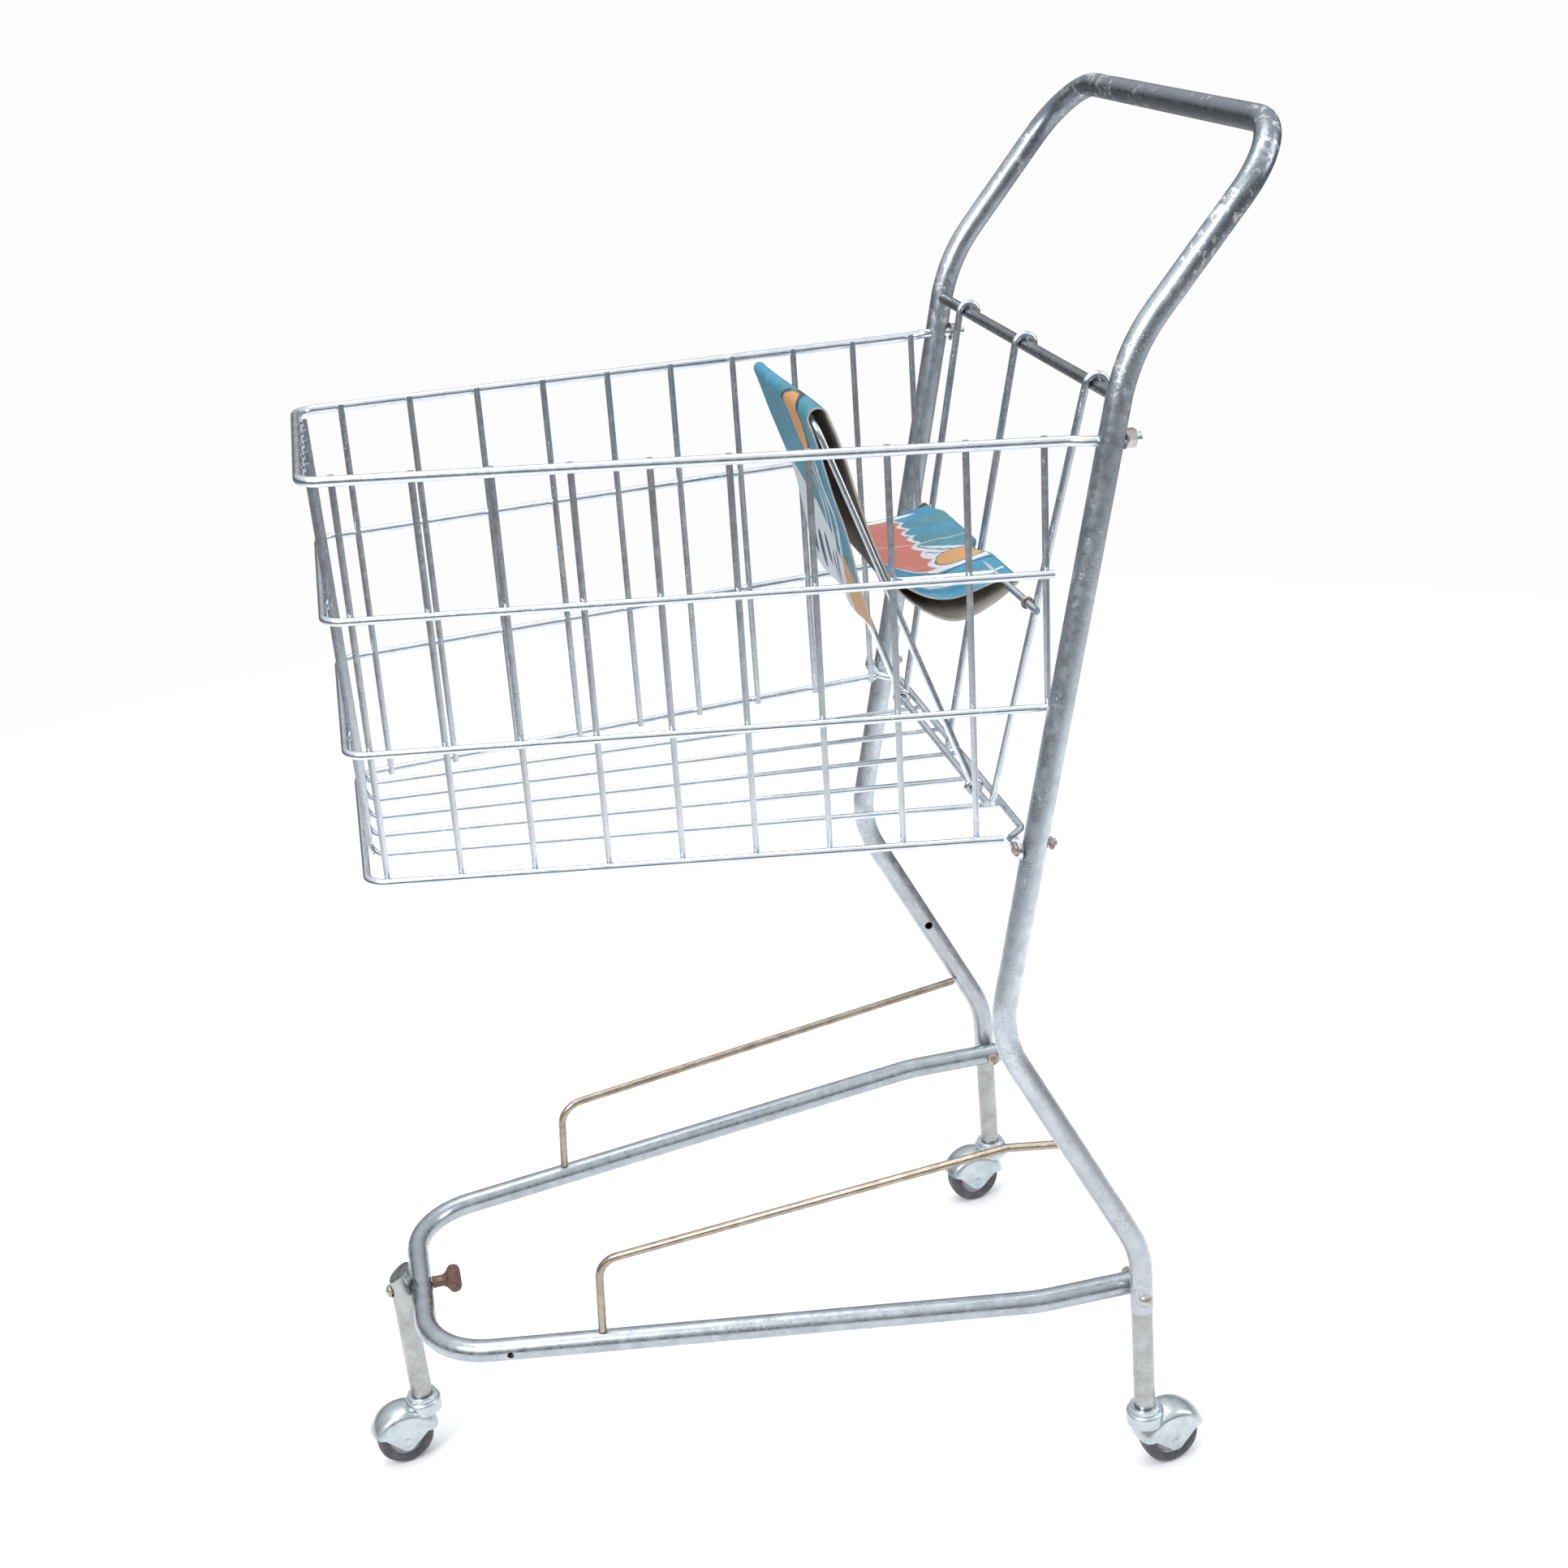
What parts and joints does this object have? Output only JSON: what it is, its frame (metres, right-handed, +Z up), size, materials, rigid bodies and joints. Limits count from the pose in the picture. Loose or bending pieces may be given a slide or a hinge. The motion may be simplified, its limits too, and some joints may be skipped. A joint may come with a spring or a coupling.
{
  "type": "toy shopping trolley",
  "caption": "Child's shopping trolley: bent tube frame on swivel castors, wire basket, hinged rear gate with folding vinyl doll seat.",
  "frame": {"origin": "on the floor under the middle of the bounding box", "axes": "+Z up, -Y to the front castor, +X to the trolley's left side"},
  "size_m": [0.3712, 0.624, 0.874],
  "materials": {
    "zinc_tube": "worn, speckled with fine pits",
    "dark_tube": "worn, dull",
    "basket_wire": "worn plating",
    "rusty_steel": "tarnished, brown",
    "end_plug": "aged",
    "castor_steel": "worn plating",
    "castor_core": "aged",
    "castor_tyre": "dusty",
    "vinyl": "printed vinyl, worn"
  },
  "bodies": {
    "frame": {"main_tube": "zinc_tube", "rear_leg_left": "zinc_tube", "rear_leg_right": "zinc_tube", "lower_frame": "dark_tube", "front_leg": "zinc_tube", "side_wire_left": "rusty_steel", "side_wire_right": "rusty_steel", "front_bolt": "rusty_steel", "rail_bolts": "rusty_steel", "rail_nuts": "rusty_steel", "rail_end_plugs": "end_plug", "castor_stem_left": "castor_steel", "castor_stem_right": "castor_steel", "castor_stem_front": "castor_steel", "basket_rim": "basket_wire", "basket_hoop_upper": "basket_wire", "basket_hoop_middle": "basket_wire", "basket_hoop_bottom": "basket_wire", "basket_wires_left": "basket_wire", "basket_wires_right": "basket_wire", "basket_floor_wires": "basket_wire", "basket_cross_wire": "basket_wire", "rim_nuts": "rusty_steel", "rim_washers": "rusty_steel", "basket_bolts": "rusty_steel", "basket_nuts": "rusty_steel", "pivot_rod": "basket_wire"},
    "knob": {"clamp_knob": "rusty_steel"},
    "castor_left": {"castor_hood_left": "castor_steel", "castor_axle_left": "castor_steel"},
    "wheel_left": {"castor_wheel_left": "castor_core", "castor_tyre_left": "castor_tyre"},
    "castor_right": {"castor_hood_right": "castor_steel", "castor_axle_right": "castor_steel"},
    "wheel_right": {"castor_wheel_right": "castor_core", "castor_tyre_right": "castor_tyre"},
    "castor_front": {"castor_hood_front": "castor_steel", "castor_axle_front": "castor_steel"},
    "wheel_front": {"castor_wheel_front": "castor_core", "castor_tyre_front": "castor_tyre"},
    "gate": {"gate_wires": "basket_wire", "gate_bottom_bar": "basket_wire", "seat_eyes": "rusty_steel"},
    "backrest": {"backrest_frame": "basket_wire", "backrest_cover": "vinyl"},
    "seat": {"seat_frame": "basket_wire", "seat_cover": "vinyl"}
  },
  "joints": [
    {"name": "gate_swing", "type": "hinge", "parent": "frame", "child": "gate", "pos_m": [0, 0.20373, 0.733], "axis": [-1, 0, 0], "range_deg": [0, 70]},
    {"name": "backrest_fold", "type": "hinge", "parent": "gate", "child": "backrest", "pos_m": [0, 0.136, 0.474], "axis": [-1, 0, 0], "range_deg": [0, 20]},
    {"name": "seat_fold", "type": "hinge", "parent": "gate", "child": "seat", "pos_m": [0, 0.1632, 0.605], "axis": [-1, 0, 0], "range_deg": [0, 100]},
    {"name": "knob_turn", "type": "hinge", "parent": "frame", "child": "knob", "pos_m": [0, -0.241, 0.138], "axis": [0, 1, 0], "continuous": true},
    {"name": "castor_swivel_left", "type": "hinge", "parent": "frame", "child": "castor_left", "pos_m": [0.173, 0.202, 0.042], "axis": [0, 0, 1], "continuous": true},
    {"name": "wheel_spin_left", "type": "hinge", "parent": "castor_left", "child": "wheel_left", "pos_m": [0.17063, 0.21884, 0.02], "axis": [0.9903, 0.1392, 0], "continuous": true},
    {"name": "castor_swivel_right", "type": "hinge", "parent": "frame", "child": "castor_right", "pos_m": [-0.173, 0.202, 0.042], "axis": [0, 0, 1], "continuous": true},
    {"name": "wheel_spin_right", "type": "hinge", "parent": "castor_right", "child": "wheel_right", "pos_m": [-0.17122, 0.18509, 0.02], "axis": [-0.9945, -0.1045, 0], "continuous": true},
    {"name": "castor_swivel_front", "type": "hinge", "parent": "frame", "child": "castor_front", "pos_m": [0, -0.2722, 0.042], "axis": [0, 0, 1], "continuous": true},
    {"name": "wheel_spin_front", "type": "hinge", "parent": "castor_front", "child": "wheel_front", "pos_m": [0.00295, -0.28894, 0.02], "axis": [-0.9848, -0.1736, 0], "continuous": true}
  ],
  "couplings": [
    {"joint": "seat_fold", "follows": "backrest_fold", "ratio": 5}
  ]
}
